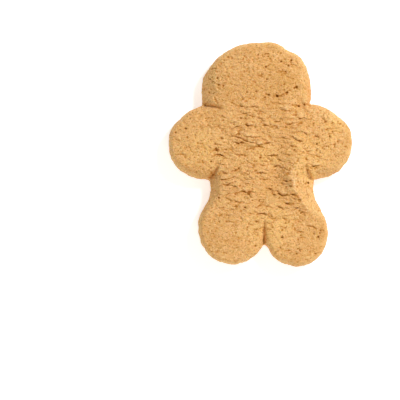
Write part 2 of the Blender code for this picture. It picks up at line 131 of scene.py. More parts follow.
# Creases that run in from the notches of the outline: start x, y, end x, y, width, and the share of the
# height above the widest line that they take away at the notch
CREASES = (
    (1.6, -40.0, 1.5, -27.5, 1.3, 0.66),
    (-24.6, 21.4, -15.5, 19.4, 1.8, 0.62),
    (21.6, 21.6, 14.0, 19.7, 1.6, 0.45),
    (21.9, -9.6, 18.6, -4.6, 0.5, 0.42),
    (-22.0, -10.8, -17.8, -4.8, 2.0, 0.75),
)
CREASE_FLOOR = 0.35
SLIT_SHARE = 0.3
CREASE_START = -2.5
CREASE_FALL = 0.75
CREASE_EDGE = 1.5
ARMPIT_CREASES = (CREASES[3], CREASES[4])
ARMPIT_BORDER = (-0.8, 0.2)

# The burr that the wire threw up along the right side of the waist
WAIST_BURR = (
    (16.6, -2.4),
    (13.0, -8.0),
    (13.7, -11.5),
    (15.0, -15.8),
    (17.0, -19.2),
    (20.0, -23.4),
    (22.4, -28.0),
)
BURR_HEIGHT = 1.6
BURR_SHARP = 0.4
BURR_SHARP_WIDTH = 0.9
BURR_INNER_WIDTH = 4.0
BURR_OUTER_WIDTH = 2.8
BURR_FADE = (-33.0, -18.0)
BURR_WANDERS = ((2.4, 0.7, 3), (1.1, 0.5, 13))
BURR_LUMPS = (1.8, 0.45, 9)
BURR_REACH = (0.1, 0.6)
BURR_BORDER = (0.0, 0.6)
BURR_INSETS = (1.0, 3.0)

# The burr's crest gets a painted highlight, and a painted shadow lies along its torn side in an uneven band:
# shares and widths, how far from the crest the band lies, and size, share and seed of its unevenness
CREST_HIGHLIGHT = 0.4
CREST_WIDTH = 0.5
BAND_SHADOW = 0.14
BAND_WIDTH = 0.6
BAND_PLACE = 1.2
BAND_RAGGED = (1.2, 1.5, 92)

# Long tears of the top: x, y, half length, turn in degrees, half depth
LONG_TEARS = (
    (2.6, 8.5, 2.8, -24.0, 0.70),
    (9.0, 7.3, 5.4, -2.0, 0.60),
    (0.0, 18.5, 3.8, -18.0, 0.55),
    (10.3, 19.1, 4.2, -8.0, 0.60),
    (13.2, 13.4, 4.4, 0.0, 0.65),
    (3.8, 12.7, 5.2, 0.0, 0.50),
    (19.0, 15.6, 4.2, -8.0, 0.70),
    (27.3, 14.7, 1.8, -36.0, 0.50),
    (28.9, 11.3, 3.6, 11.0, 0.50),
    (18.8, 9.5, 2.9, -26.0, 0.55),
    (24.4, 7.8, 2.8, -30.0, 0.60),
    (28.6, 3.9, 3.2, 8.0, 0.45),
    (14.1, 3.8, 2.8, 2.0, 0.45),
    (3.4, 0.0, 4.2, 0.0, 0.60),
    (11.4, 0.4, 2.8, -14.0, 0.60),
    (8.4, -1.7, 2.4, -20.0, 0.50),
    (-0.3, -3.8, 3.2, -16.0, 0.50),
    (9.7, -5.7, 3.6, -22.0, 0.65),
    (11.6, -10.8, 2.6, 2.0, 0.65),
    (3.7, -14.5, 2.4, 4.0, 0.50),
    (8.4, -16.8, 2.9, -8.0, 0.60),
    (13.6, -16.2, 2.4, 2.0, 0.45),
    (-0.4, -19.0, 3.8, 1.0, 0.65),
    (12.2, -20.5, 2.8, -4.0, 0.50),
    (17.8, -24.2, 2.4, -18.0, 0.60),
    (17.0, -32.6, 1.8, -10.0, 0.50),
    (21.8, -30.8, 3.2, -13.0, 0.50),
    (24.4, -4.4, 4.8, -10.0, 0.75),
    (31.5, -6.2, 2.6, -35.0, 0.60),
    (9.4, 35.4, 2.8, -4.0, 0.55),
    (12.4, 33.0, 2.6, -28.0, 0.45),
    (11.0, 27.0, 3.6, 30.0, 0.50),
    (2.8, 26.1, 1.8, -27.0, 0.45),
)

# The share of its depth that a tear has in the limbs, what the trunk and the head add, and what the feet
# take away. The trunk's is an ellipse, whose share grows over a band given as distances inside its edge.
TORN_TRUNK = (2.0, -4.0, 25.0, 29.0, 0.0)
TORN_TRUNK_BORDER = (-4.0, 6.0)
TORN_HEAD_Y = (14.0, 20.0)
TORN_FEET_Y = (-24.0, -32.0)
TORN_LIMBS = 0.34
TORN_HEAD_MORE = 0.08
TORN_TRUNK_MORE = 0.66
TORN_FEET_LESS = 0.13

# The shorter tears between them, drawn at random. Rows and steps cover these stretches of y and x.
TEAR_ROWS_Y = (-44.0, 46.0)
TEAR_STEPS_X = (-36.0, 37.0)
TEAR_ROW = 3.1
TEAR_STEP = 6.5
TEAR_HALF_LENGTHS = (1.8, 5.0)
TEAR_DEPTHS = (0.25, 0.65)
TEAR_TURN = 14.0
TEAR_HEADING = -4.0
TEAR_SHIFTS = (0.45, 0.35)
TEAR_CLEARANCE = 2.0
TEAR_INSET = 3.6
TEAR_SEED = 11

# The finest tears, which only this mesh has. Where the top is less torn they turn more loosely.
FLAKE_ROWS_Y = (-46.0, 48.0)
FLAKE_STEPS_X = (-38.0, 39.0)
FLAKE_ROW = 1.5
FLAKE_STEP = 2.9
FLAKE_SHIFT = 0.5
FLAKE_HALF_LENGTHS = (1.0, 3.8)
FLAKE_DEPTHS = (0.15, 0.58)
FLAKE_TURN = 16.0
LOOSE_TURN = 70.0
FLAKE_INSET = 2.2
FLAKE_SEED = 21

# Overlapping plates that the wire dragged towards the feet: width, height, relief, seed
PLATES = (4.6, 2.5, 0.60, 71)
SMALL_PLATES = (2.0, 1.3, 0.45, 72)
PLATE_CONTRAST = 1.4
CELL_SHIFT = 0.4
CELL_RAGGED = (0.35, 0.2, 0.26)

# Granules of the crumb: size, relief, seed. They are longer along x, the weakest has the least share of its
# relief, and each sinks below level where its distance from its middle, squared, passes a limit.
GRANULES = ((1.0, 0.50, 73), (0.65, 0.55, 74))
GRANULE_STRETCH = 1.5
GRANULE_LEAST = 0.4
GRANULE_LEVEL = 0.3

# Section of a tear: how fast it rises to its lip, drops over it and recovers below it, how far above and
# below it that reaches, and its groove. The lip leans over just above the drop.
TEAR_RISE = 2.2
TEAR_DROP = 0.16
TEAR_RECOVERY = 1.2
TEAR_SPAN = 8.0
STEP_SHARE = 0.45
GROOVE_SHARE = 0.75
GROOVE_PLACE = 0.25
GROOVE_WIDTH = 0.28
LEAN_PLACE = 0.15
LEAN_WIDTH = 0.45
LEAN_START = -0.3
TEAR_OVERHANG = 0.3
FLAKE_OVERHANG = 0.7
FLAKE_SCALE = 0.45

# A tear's lip is jagged, by waves of these sizes and heights, which shrink with the smallest tears. Its
# strength comes and goes along it: middle, swing, size, and the least and the most.
TEAR_JAGS = ((2.2, 0.5), (0.9, 0.24), (0.45, 0.12))
JAG_SCALE = 1.6
JAG_SEED = 2
TEAR_BREAKS = (0.95, 0.6, 2.2)
TEAR_BREAK_LIMITS = (0.1, 1.25)
TEAR_BREAK_SEED = 17

# Uneven crumb: size across and height of each field of bumps. Bumps are stretched along x, streaks along y.
CRUMB = ((9.0, 0.30), (3.4, 0.12))
CRUMB_SEED = 4
FINE_CRUMB = ((1.5, 0.06), (0.8, 0.12), (0.45, 0.20))
FINE_STRETCH = 0.5
FINE_SEED = 40
SKIN = ((1.4, 0.05), (0.75, 0.10), (0.5, 0.16))
SKIN_STRETCH = 0.6
SKIN_SEED = 50
SIDE_SKIN_SEED = 60
STREAKS = ((1.8, 0.35), (0.9, 0.50), (0.55, 0.40))
STREAK_STRETCH = 0.35
STREAK_SEED = 80
# Dents are kept and bumps worn flat: how strong the dents stay, and how soft the change is
DENT_SHARE = 1.6
DENT_SOFTNESS = 0.08

# Slopes with lumps: x, y, reach, height. Then the lumps' size and seed
LUMPY_SLOPES = ((20.5, 29.0, 9.0, 0.75), (20.0, -13.5, 8.0, 0.3))
SLOPE_LUMPS = (2.4, 19)

# Where the crumb is less rough: on the feet, which keep this share and begin where the top is torn this
# little, and at places given as x, y, reach, loss. The less torn the top, the patchier: size, share, seed.
CALM_FEET = 0.60
CALM_BORDER = (0.2, 0.42)
CALM_PLACES = ((27.0, -8.0, 4.5, 0.3), (-27.0, -8.0, 4.5, 0.3))
PATCHINESS = (3.0, 0.6, 91)

# Shares of the fine relief: all over, and what a fully torn place adds
SMALL_PLATE_SHARES = (0.28, 0.72)
FLAKE_SHARES = (0.96, 0.14)
# Shares at the edge, and what the top and then its smooth slopes add, over this distance from the edge
ROUGH_SHARES = (0.35, 0.65, 0.10)
PIT_SHARES = (0.4, 0.6, 0.3)
GRAIN_INSET = 2.0
# What tears take away from the roughness, what the streaks of the waist's slopes take away, and their share
ROUGH_TORN_LESS = 0.55
ROUGH_STREAKED_LESS = 0.5
FLAKE_STREAKED_LESS = 0.8
STREAK_SHARE = 0.6

# How much each kind of relief tells in how raised a point looks, and the depth that tells in full. Raised
# points get a painted highlight and low ones painted shade, deepest in pits and creases; the last value is
# the creases' painted shade.
TEAR_TONE = 0.76
FLAKE_TONE = 0.56
PLATE_TONE = 0.4
PIT_TONE = 0.85
ROUGH_TONE = 0.7
TONE_DEPTH = 0.9
CREASE_PAINTED_SHADE = 0.45

# Larger pits of the top: x, y, radius, depth
LARGE_PITS = (
    (7.0, 24.9, 0.55, 1.3),
    (3.4, 25.5, 0.48, 1.0),
    (15.3, 28.8, 0.62, 1.0),
    (14.4, 28.4, 0.45, 0.9),
    (11.3, 26.4, 0.45, 0.9),
    (9.9, 27.5, 0.36, 0.8),
    (13.0, 40.2, 0.48, 0.9),
    (11.8, 38.0, 0.45, 0.9),
    (2.2, 37.2, 0.42, 0.9),
    (8.7, 39.6, 0.36, 0.7),
    (2.6, 32.0, 0.40, 0.8),
    (-1.1, 42.6, 0.40, 0.7),
    (16.4, 20.7, 0.46, 1.0),
    (18.8, 21.4, 0.42, 1.0),
    (-18.4, 32.6, 0.42, 0.9),
    (20.6, -12.1, 0.42, 1.2),
    (24.6, -35.2, 0.42, 1.0),
    (23.9, 4.4, 0.40, 1.0),
    (29.4, 7.7, 0.40, 0.9),
    (25.2, 0.8, 0.36, 0.8),
)
# The small ones, drawn at random: most are near the least radius, and their depth is a share of it
PIT_FIELD = (39.0, 48.0)
PIT_COUNT = 2600
PIT_RADII = (0.20, 0.46)
PIT_RARITY = 2.5
PIT_STEEPNESS = (0.6, 1.5)
PIT_SPAN = 2.2
PIT_INSET = 2.2
PIT_SEED = 31

# Patches that are darker, partly from real browning at the edges and partly painted shade, and paler with
# painted light
# where the amount is below zero: x, y, reach, amount
BROWNING_AND_PAINTED_SHADING = (
    (8.0, 30.0, 9.0, 1.0),
    (11.0, 33.0, 3.5, 0.6),
    (-8.0, 30.0, 8.0, 0.5),
    (7.5, 22.5, 3.0, 0.5),
    (14.5, 21.0, 3.5, -0.9),
    (6.5, 47.0, 3.5, 0.9),
    (21.5, 27.0, 6.0, 1.0),
    (6.0, 8.0, 4.0, 0.5),
    (5.0, 14.0, 8.0, 0.4),
    (17.0, 6.0, 5.0, -0.5),
    (24.0, 0.0, 9.0, -1.1),
    (-24.0, 3.0, 9.0, -0.9),
    (24.5, 10.5, 3.0, 0.6),
    (27.5, 6.0, 2.5, 0.4),
    (32.0, 9.5, 4.0, -0.8),
    (32.5, 12.5, 4.5, -1.1),
    (37.6, 12.2, 2.4, 1.6),
    (38.0, 6.5, 5.5, 1.3),
    (30.5, -7.0, 4.0, 1.1),
    (2.5, 0.0, 5.0, -1.1),
    (5.0, -1.0, 3.0, -0.5),
    (17.5, -6.5, 2.5, -0.8),
    (20.5, -9.5, 3.5, -1.2),
    (2.5, -14.8, 3.8, 1.1),
    (18.5, -17.5, 3.0, 0.6),
    (27.5, -31.5, 5.5, 1.0),
    (6.5, -24.0, 5.0, -0.6),
    (10.5, -28.5, 4.0, -0.7),
    (6.0, -31.0, 6.5, -1.0),
    (-4.0, -31.0, 6.5, -0.7),
    (20.5, -36.5, 6.0, 0.7),
    (7.0, -41.0, 4.0, -0.9),
    (13.5, -46.5, 4.0, 0.9),
)

# Spacing of the vertices, over a field that reaches this far in x and y
SPACING = 0.30
GRID_MARGIN = 0.6
GRID_FIELD = (42.0, 52.0)
BASE_SPACING = 0.9
JITTER = 0.16
FOOT_STEPS = 11
FOOT_CROWDING = 0.8
SHOULDER_STEPS = 12

# How the edge is traced: the rays and how far they start from, and how many times the gap is halved. Its
# direction at a point is taken between neighbours this many steps away.
TRACE_STEPS = 3600
TRACE_REACH = 80.0
TRACE_HALVINGS = 40
TRACE_NEIGHBOUR = 3

# Cells along each side of the square of random numbers that noise repeats
LATTICE = 256


def noise(x, y, size, seed):
    """A smooth random field from -1 to 1, whose bumps are about size across."""
    lattice = np.random.default_rng(seed).uniform(-1.0, 1.0, (LATTICE, LATTICE))
    u, v = x / size + 20.0 + 0.37 * seed, y / size + 20.0 + 0.61 * seed
    column, row = np.floor(u).astype(int), np.floor(v).astype(int)
    fu, fv = u - column, v - row
    fu, fv = fu * fu * (3 - 2 * fu), fv * fv * (3 - 2 * fv)
    column, row = column % LATTICE, row % LATTICE
    right, above = (column + 1) % LATTICE, (row + 1) % LATTICE
    near = lattice[row, column] * (1 - fu) + lattice[row, right] * fu
    far = lattice[above, column] * (1 - fu) + lattice[above, right] * fu
    return near * (1 - fv) + far * fv


def layered_noise(x, y, fields, seed, seed_step=1):
    """Noise of several sizes, added up. Each field is a size across and a height."""
    return sum(height * noise(x, y, size, seed + seed_step * i) for i, (size, height) in enumerate(fields))


def smooth_step(value, low, high):
    share = np.clip((value - low) / (high - low), 0.0, 1.0)
    return share * share * (3 - 2 * share)


def turned(x, y, degrees):
    """The coordinates along and across a direction at this angle to +X."""
    cosine, sine = math.cos(math.radians(degrees)), math.sin(math.radians(degrees))
    return x * cosine + y * sine, y * cosine - x * sine


def lobe_distance(x, y, lobe):
    """Distance to an elliptic lobe's edge, below zero inside it."""
    centre_x, centre_y, half_width, half_height, turn = lobe
    u, v = turned(x - centre_x, y - centre_y, turn)
    scaled = np.hypot(u / half_width, v / half_height)
    slope = np.hypot(u / half_width**2, v / half_height**2)
    return scaled * (scaled - 1) / np.maximum(slope, 1e-9)


def joined(first, second, fillet):
    """The distance to two shapes made one, with a fillet in the notch between them."""
    share = np.clip(0.5 + 0.5 * (second - first) / fillet, 0.0, 1.0)
    return second * (1 - share) + first * share - fillet * share * (1 - share)


def outline_distance(x, y):
    legs = joined(lobe_distance(x, y, LEG_RIGHT), lobe_distance(x, y, LEG_LEFT), CROTCH_FILLET)
    body = joined(lobe_distance(x, y, TRUNK), legs, HIP_FILLET)
    for arm, corner in ((ARM_RIGHT, ARM_RIGHT_CORNER), (ARM_LEFT, ARM_LEFT_CORNER)):
        arm_distance = joined(lobe_distance(x, y, arm), lobe_distance(x, y, corner), CORNER_FILLET)
        body = joined(body, arm_distance, ARMPIT_FILLET)
    head = joined(lobe_distance(x, y, HEAD), lobe_distance(x, y, HEAD_CORNER), CORNER_FILLET)
    head = joined(head, lobe_distance(x, y, HEAD_TOP), CORNER_FILLET)
    return joined(body, head, NECK_FILLET) + layered_noise(x, y, EDGE_WAVES, *EDGE_WAVE_SEEDS) - EDGE_SPREAD


def traced_outline():
    """Points of the edge, found along rays from the middle, and the direction inwards at each."""
    angle = np.linspace(0.0, 2 * math.pi, TRACE_STEPS, endpoint=False)
    low = np.zeros(TRACE_STEPS)
    high = np.full(TRACE_STEPS, TRACE_REACH)
    for _ in range(TRACE_HALVINGS):
        middle = (low + high) / 2
        inside = outline_distance(middle * np.cos(angle), middle * np.sin(angle)) < 0
        low = np.where(inside, middle, low)
        high = np.where(inside, high, middle)
    edge = np.stack([low * np.cos(angle), low * np.sin(angle)], axis=1)
    along = np.roll(edge, -TRACE_NEIGHBOUR, axis=0) - np.roll(edge, TRACE_NEIGHBOUR, axis=0)
    along /= np.linalg.norm(along, axis=1, keepdims=True)
    return edge, np.stack([-along[:, 1], along[:, 0]], axis=1)


def columns_round(edge, inwards):
    """Even columns round the cookie: spaced evenly where the side meets the top, and so closer in a notch."""
    lip = edge + LIP_INSET * inwards
    steps = np.linalg.norm(np.roll(lip, -1, axis=0) - lip, axis=1)
    travelled = np.concatenate([[0.0], np.cumsum(steps)])
    count = round(travelled[-1] / SPACING)
    wanted = np.arange(count) * travelled[-1] / count
    both = np.concatenate([edge, inwards], axis=1)
    both = np.concatenate([both, both[:1]])
    picked = np.stack([np.interp(wanted, travelled, both[:, i]) for i in range(4)], axis=1)
    return picked[:, :2], picked[:, 2:] / np.linalg.norm(picked[:, 2:], axis=1, keepdims=True)


def inset_finder(edge):
    """A function that gives how far inside the edge each point lies."""
    tree = KDTree(len(edge))
    for index, point in enumerate(edge):
        tree.insert((point[0], point[1], 0.0), index)
    tree.balance()

    def inset(x, y):
        return np.array([tree.find((px, py, 0.0))[2] for px, py in zip(x, y)])

    return inset


def tornness(x, y):
    """How badly the wire tore the top: 1 on the trunk, less on the head and the arms, least on the feet."""
    trunk = smooth_step(-lobe_distance(x, y, TORN_TRUNK), *TORN_TRUNK_BORDER)
    head = smooth_step(y, *TORN_HEAD_Y)
    feet = smooth_step(y, *TORN_FEET_Y)
    return TORN_LIMBS + TORN_TRUNK_MORE * trunk + TORN_HEAD_MORE * head - TORN_FEET_LESS * feet


def drawn_tears(inset):
    """Every tear of the top: the long ones, and shorter ones in uneven rows between them."""
    random = np.random.default_rng(TEAR_SEED)
    tears = list(LONG_TEARS)
    for row in np.arange(*TEAR_ROWS_Y, TEAR_ROW):
        for step in np.arange(*TEAR_STEPS_X, TEAR_STEP):
            x = step + random.uniform(-TEAR_SHIFTS[0], TEAR_SHIFTS[0]) * TEAR_STEP
            y = row + random.uniform(-TEAR_SHIFTS[1], TEAR_SHIFTS[1]) * TEAR_ROW
            half = random.uniform(*TEAR_HALF_LENGTHS)
            turn = random.normal(TEAR_HEADING, TEAR_TURN)
            depth = random.uniform(*TEAR_DEPTHS) * tornness(x, y)
            clear = all(
                math.hypot((x - tear[0]) / (tear[2] + half), (y - tear[1]) / TEAR_CLEARANCE) > 1
                for tear in LONG_TEARS
            )
            if clear and outline_distance(x, y) < 0 and inset([x], [y])[0] > TEAR_INSET:
                tears.append((x, y, half, turn, depth))
    return tears


def drawn_flakes(inset):
    """The finest tears, in uneven rows all over the top. Most are shallow."""
    random = np.random.default_rng(FLAKE_SEED)
    shallowest, deepest = FLAKE_DEPTHS
    flakes = []
    for row in np.arange(*FLAKE_ROWS_Y, FLAKE_ROW):
        for step in np.arange(*FLAKE_STEPS_X, FLAKE_STEP):
            x = step + random.uniform(-FLAKE_SHIFT, FLAKE_SHIFT) * FLAKE_STEP
            y = row + random.uniform(-FLAKE_SHIFT, FLAKE_SHIFT) * FLAKE_ROW
            half = random.uniform(*FLAKE_HALF_LENGTHS)
            turn = random.normal(TEAR_HEADING, FLAKE_TURN + LOOSE_TURN * (1 - tornness(x, y)))
            depth = shallowest + (deepest - shallowest) * random.uniform() ** 2
            depth *= tornness(x, y)
            if outline_distance(x, y) < 0 and inset([x], [y])[0] > FLAKE_INSET:
                flakes.append((x, y, half, turn, depth))
    return flakes


def drawn_pits(inset):
    """The large pits, and small ones scattered over the top."""
    random = np.random.default_rng(PIT_SEED)
    reach_x, reach_y = PIT_FIELD
    least, most = PIT_RADII
    pits = list(LARGE_PITS)
    for _ in range(PIT_COUNT):
        x, y = random.uniform(-reach_x, reach_x), random.uniform(-reach_y, reach_y)
        radius = least + (most - least) * random.uniform() ** PIT_RARITY
        depth = radius * random.uniform(*PIT_STEEPNESS)
        if outline_distance(x, y) < 0 and inset([x], [y])[0] > PIT_INSET:
            pits.append((x, y, radius, depth))
    return pits


class Rows:
    """Points sorted by y, so that what touches only a few of them is quick to work out."""

    def __init__(self, x, y):
        self.order = np.argsort(y)
        self.x, self.y = x[self.order], y[self.order]

    def near(self, centre_x, centre_y, reach_x, reach_y):
        low, high = np.searchsorted(self.y, (centre_y - reach_y, centre_y + reach_y))
        within = low + np.nonzero(np.abs(self.x[low:high] - centre_x) < reach_x)[0]
        return within, self.x[within] - centre_x, self.y[within] - centre_y

    def put_back(self, values):
        """Values of the sorted points, in the order in which the points were given."""
        back = np.empty(len(values))
        back[self.order] = values
        return back


def tear_relief(x, y, tears, scale=1.0):
    """Shingles: the top rises to each tear's lip and drops over it, on the side of the feet.

    Gives the height and how far the lip leans over at each point."""
    rows = Rows(x, y)
    jag = min(1.0, JAG_SCALE * scale) * layered_noise(x, y, TEAR_JAGS, JAG_SEED)[rows.order]
    middle, swing, size = TEAR_BREAKS
    broken = middle + swing * noise(x, y, size, TEAR_BREAK_SEED)[rows.order]
    broken = np.clip(broken, *TEAR_BREAK_LIMITS)
    height, lean = np.zeros(len(x)), np.zeros(len(x))
    for centre_x, centre_y, half, turn, depth in tears:
        near, dx, dy = rows.near(centre_x, centre_y, half, TEAR_SPAN * scale + half / 2)
        u, v = turned(dx, dy, turn)
        v = v + jag[near]
        strength = depth * np.clip(1 - (u / half) ** 2, 0.0, 1.0) * broken[near]
        length = np.where(v > 0, TEAR_RISE * scale, TEAR_RECOVERY * scale)
        groove = np.exp(-(((v + GROOVE_PLACE) / GROOVE_WIDTH) ** 2))
        step = np.tanh(v / TEAR_DROP) * np.exp(-np.abs(v) / length)
        height[near] += strength * (STEP_SHARE * step - GROOVE_SHARE * groove)
        over = np.exp(-(((v - LEAN_PLACE) / LEAN_WIDTH) ** 2))
        lean[near] += strength * np.where(v > LEAN_START, over, 0.0)
    return rows.put_back(height), rows.put_back(lean)


def cells(x, y, width, height, seed):
    """The uneven cell round each point: how far off its middle is, how far below, and the cell's strength."""
    random = np.random.default_rng(seed)
    shift = random.uniform(-CELL_SHIFT, CELL_SHIFT, (LATTICE, LATTICE, 2))
    strengths = random.uniform(0.0, 1.0, (LATTICE, LATTICE))
    size, along, across = CELL_RAGGED
    u = x / width + along * noise(x, y, size * width, seed + 10) + LATTICE / 2
    v = y / height + across * noise(x, y, size * width, seed + 11) + LATTICE / 2
    column, row = np.floor(u).astype(int), np.floor(v).astype(int)
    nearest = np.full(len(x), 1e9)
    above, strength = np.zeros(len(x)), np.zeros(len(x))
    for near_row in (row - 1, row, row + 1):
        for near_column in (column - 1, column, column + 1):
            moved = shift[near_row, near_column]
            du = u - near_column - 0.25 - moved[:, 0] - 0.5 * (near_row % 2)
            dv = v - near_row - 0.5 - moved[:, 1]
            distance = np.hypot(du, dv)
            closer = distance < nearest
            nearest = np.where(closer, distance, nearest)
            above = np.where(closer, dv, above)
            strength = np.where(closer, strengths[near_row, near_column], strength)
    return nearest, above, strength


def plate_relief(x, y, plates):
    """Plates that each tilt up towards the feet and end there in a step down to the next one."""
    width, height, relief, seed = plates
    _, above, strength = cells(x, y, width, height, seed)
    return -relief * above * strength**PLATE_CONTRAST


def granule_relief(x, y, granules):
    """Round granules with gaps between them."""
    size, relief, seed = granules
    nearest, _, strength = cells(x, y, GRANULE_STRETCH * size, size, seed)
    return relief * (GRANULE_LEAST + (1 - GRANULE_LEAST) * strength) * (GRANULE_LEVEL - nearest**2)


def dented(height):
    """A rough field with its dents kept and its bumps worn flat."""
    return DENT_SHARE * (height - DENT_SOFTNESS * np.log1p(np.exp(height / DENT_SOFTNESS)))


def pit_relief(x, y, pits):
    """Pits with steep sides and a rounded floor. Where two meet, the deeper one counts."""
    rows = Rows(x, y)
    height = np.zeros(len(x))
    for centre_x, centre_y, radius, depth in pits:
        near, dx, dy = rows.near(centre_x, centre_y, PIT_SPAN * radius, PIT_SPAN * radius)
        height[near] = np.minimum(height[near], -depth * np.exp(-((np.hypot(dx, dy) / radius) ** 3)))
    return rows.put_back(height)


def crease_share(x, y):
    """The share of the height that creases take away: most at the notch, and none where they run out."""
    share = np.zeros(len(x))
    for start_x, start_y, end_x, end_y, width, most in CREASES:
        run = math.hypot(end_x - start_x, end_y - start_y)
        heading = math.degrees(math.atan2(end_y - start_y, end_x - start_x))
        u, v = turned(x - start_x, y - start_y, heading)
        left = np.clip(1 - u / run, 0.0, 1.0) * smooth_step(u, CREASE_START, 0.0)
        flank = np.exp(-((np.abs(v) / (CREASE_FLOOR + width * left)) ** CREASE_EDGE))
        slit = np.exp(-((np.abs(v) / (CREASE_FLOOR + SLIT_SHARE * width * left)) ** CREASE_EDGE))
        section = 0.5 * flank + 0.5 * slit
        share = np.maximum(share, most * left**CREASE_FALL * section)
    return share


def burr_distance(x, y):
    """How far each point is from the burr, and whether it lies on the side of the die."""
    x = x + sum(far * noise(x, y, size, seed) for size, far, seed in BURR_WANDERS)
    nearest = np.full(len(x), 1e9)
    outer = np.zeros(len(x), bool)
    for (ax, ay), (bx, by) in zip(WAIST_BURR, WAIST_BURR[1:]):
        run = np.array([bx - ax, by - ay])
        share = np.clip(((x - ax) * run[0] + (y - ay) * run[1]) / run.dot(run), 0.0, 1.0)
        away_x, away_y = x - ax - share * run[0], y - ay - share * run[1]
        distance = np.hypot(away_x, away_y)
        outer = np.where(distance < nearest, away_y * run[0] - away_x * run[1] > 0, outer)
        nearest = np.minimum(nearest, distance)
    return nearest, outer


def burr_relief(x, y):
    """The ridge along the waist: steep on the torn side, and easy on the side of the die."""
    nearest, outer = burr_distance(x, y)
    inner = BURR_SHARP * np.exp(-((nearest / BURR_SHARP_WIDTH) ** 1.5))
    inner += (1 - BURR_SHARP) * np.exp(-((nearest / BURR_INNER_WIDTH) ** 2))
    profile = np.where(outer, np.exp(-((nearest / BURR_OUTER_WIDTH) ** 1.5)), inner)
    lump_size, lump_share, lump_seed = BURR_LUMPS
    lumpy = 1 + lump_share * noise(x, y, lump_size, lump_seed)
    return BURR_HEIGHT * profile * lumpy * smooth_step(y, *BURR_FADE)


def burr_painted_light(x, y, inset):
    """How raised the burr makes each point look: a painted highlight on its crest, and a painted shadow along
    its torn side.
    """
    nearest, outer = burr_distance(x, y)
    crest = CREST_HIGHLIGHT * np.exp(-((nearest / CREST_WIDTH) ** 2))
    size, swing, seed = BAND_RAGGED
    band = BAND_SHADOW * (1 + swing * noise(x * SKIN_STRETCH, y, size, seed))
    band *= np.where(outer, 0.0, np.exp(-(((nearest - BAND_PLACE) / BAND_WIDTH) ** 2)))
    return smooth_step(inset, *BURR_INSETS) * smooth_step(y, *BURR_FADE) * (crest - band)


def spots(x, y, places):
    """The sum of round soft spots: x, y, reach, amount."""
    total = np.zeros(len(x))
    for centre_x, centre_y, reach, amount in places:
        total += amount * np.exp(-((x - centre_x) ** 2 + (y - centre_y) ** 2) / reach**2)
    return total


def waist_slopes(x, y, slopes=WAIST_SLOPES):
    """The wide slopes of the waist, each cut off along the crease of its armpit."""
    total = np.zeros(len(x))
    for slope, crease in zip(slopes, ARMPIT_CREASES):
        start_x, start_y, end_x, end_y = crease[:4]
        heading = math.degrees(math.atan2(end_y - start_y, end_x - start_x))
        across = turned(x - start_x, y - start_y, heading)[1] * math.copysign(1.0, start_x)
        total += spots(x, y, (slope,)) * smooth_step(across, *ARMPIT_BORDER)
    return total


def rough_crumb(x, y):
    """Granules, fine bumps and skin together, worn flat on top."""
    granules = sum(granule_relief(x, y, kind) for kind in GRANULES)
    fine = layered_noise(x * FINE_STRETCH, y, FINE_CRUMB, FINE_SEED)
    return dented(granules + fine + layered_noise(x * SKIN_STRETCH, y, SKIN, SKIN_SEED))


def bare_form(x, y, inset):
    """Height of the rim and the top before they are torn, and how torn each point will be."""
    smooth = spots(x, y, SMOOTH_SLOPES) + waist_slopes(x, y)
    rim = RIM_WIDTH + smooth + spots(x, y, TORN_SLOPES)
    climb = np.clip(inset / rim, 0.0, 1.0)
    flat = np.clip(smooth / WIDEST_EXTRA, 0.0, 1.0)
    rise = (1 - (1 - climb) ** (2 - 0.5 * flat)) ** (1 / (2 - 0.75 * flat))
    height = WIDEST_Z + (SHOULDER_Z - WIDEST_Z) * rise
    height += CROWN * (1 - np.exp(-np.maximum(inset - rim, 0.0) / CROWN_REACH))
    torn = smooth_step(inset, *TORN_INSETS)
    wave_size, wave_height, wave_seed = SLOPE_RAGGED
    border = inset / rim + wave_height * noise(x, y, wave_size, wave_seed)
    torn *= 1 - np.clip(smooth / SMOOTH_EXTRA, 0.0, 1.0) * (1 - smooth_step(border, *SLOPE_BORDER))
    nearest, outer = burr_distance(x, y)
    beside = smooth_step(waist_slopes(x, y, WAIST_SLOPES[:1]), *BURR_REACH)
    torn *= 1 - beside * smooth_step(np.where(outer, nearest, -nearest), *BURR_BORDER)
    for seed, (size, depth) in enumerate(CRUMB, CRUMB_SEED):
        height += depth * torn * noise(x, y, size, seed)
    return height, torn


def added(shares, *places):
    """The share that holds everywhere, with what each kind of place adds to it."""
    base, *extras = shares
    return base + sum(extra * place for extra, place in zip(extras, places))


def fine_relief(x, y, inset, torn, flake, rough, pit):
    """Flakes, rough crumb, the slopes' lumps, pits and streaks, each as strong as its place has it."""
    spread = tornness(x, y)
    grained = smooth_step(inset, 0.0, GRAIN_INSET)
    whole = grained * (1 - torn)
    streaked = whole * np.clip(waist_slopes(x, y) / WIDEST_EXTRA, 0.0, 1.0)
    relief = grained * added(FLAKE_SHARES, spread) * (1 - FLAKE_STREAKED_LESS * streaked) * flake
    calm = CALM_FEET + (1 - CALM_FEET) * smooth_step(spread, *CALM_BORDER) - spots(x, y, CALM_PLACES)
    patch_size, patch_share, patch_seed = PATCHINESS
    calm *= 1 + patch_share * (1 - spread) * noise(x, y, patch_size, patch_seed)
    less = ROUGH_TORN_LESS * spread * torn + ROUGH_STREAKED_LESS * streaked
    relief += calm * (added(ROUGH_SHARES, grained, whole) - less) * rough
    relief += whole * spots(x, y, LUMPY_SLOPES) * noise(x, y, *SLOPE_LUMPS)
    relief += added(PIT_SHARES, grained, whole) * pit
    streaks = layered_noise(x, y * STREAK_STRETCH, STREAKS, STREAK_SEED)
    return relief + STREAK_SHARE * streaked * streaks


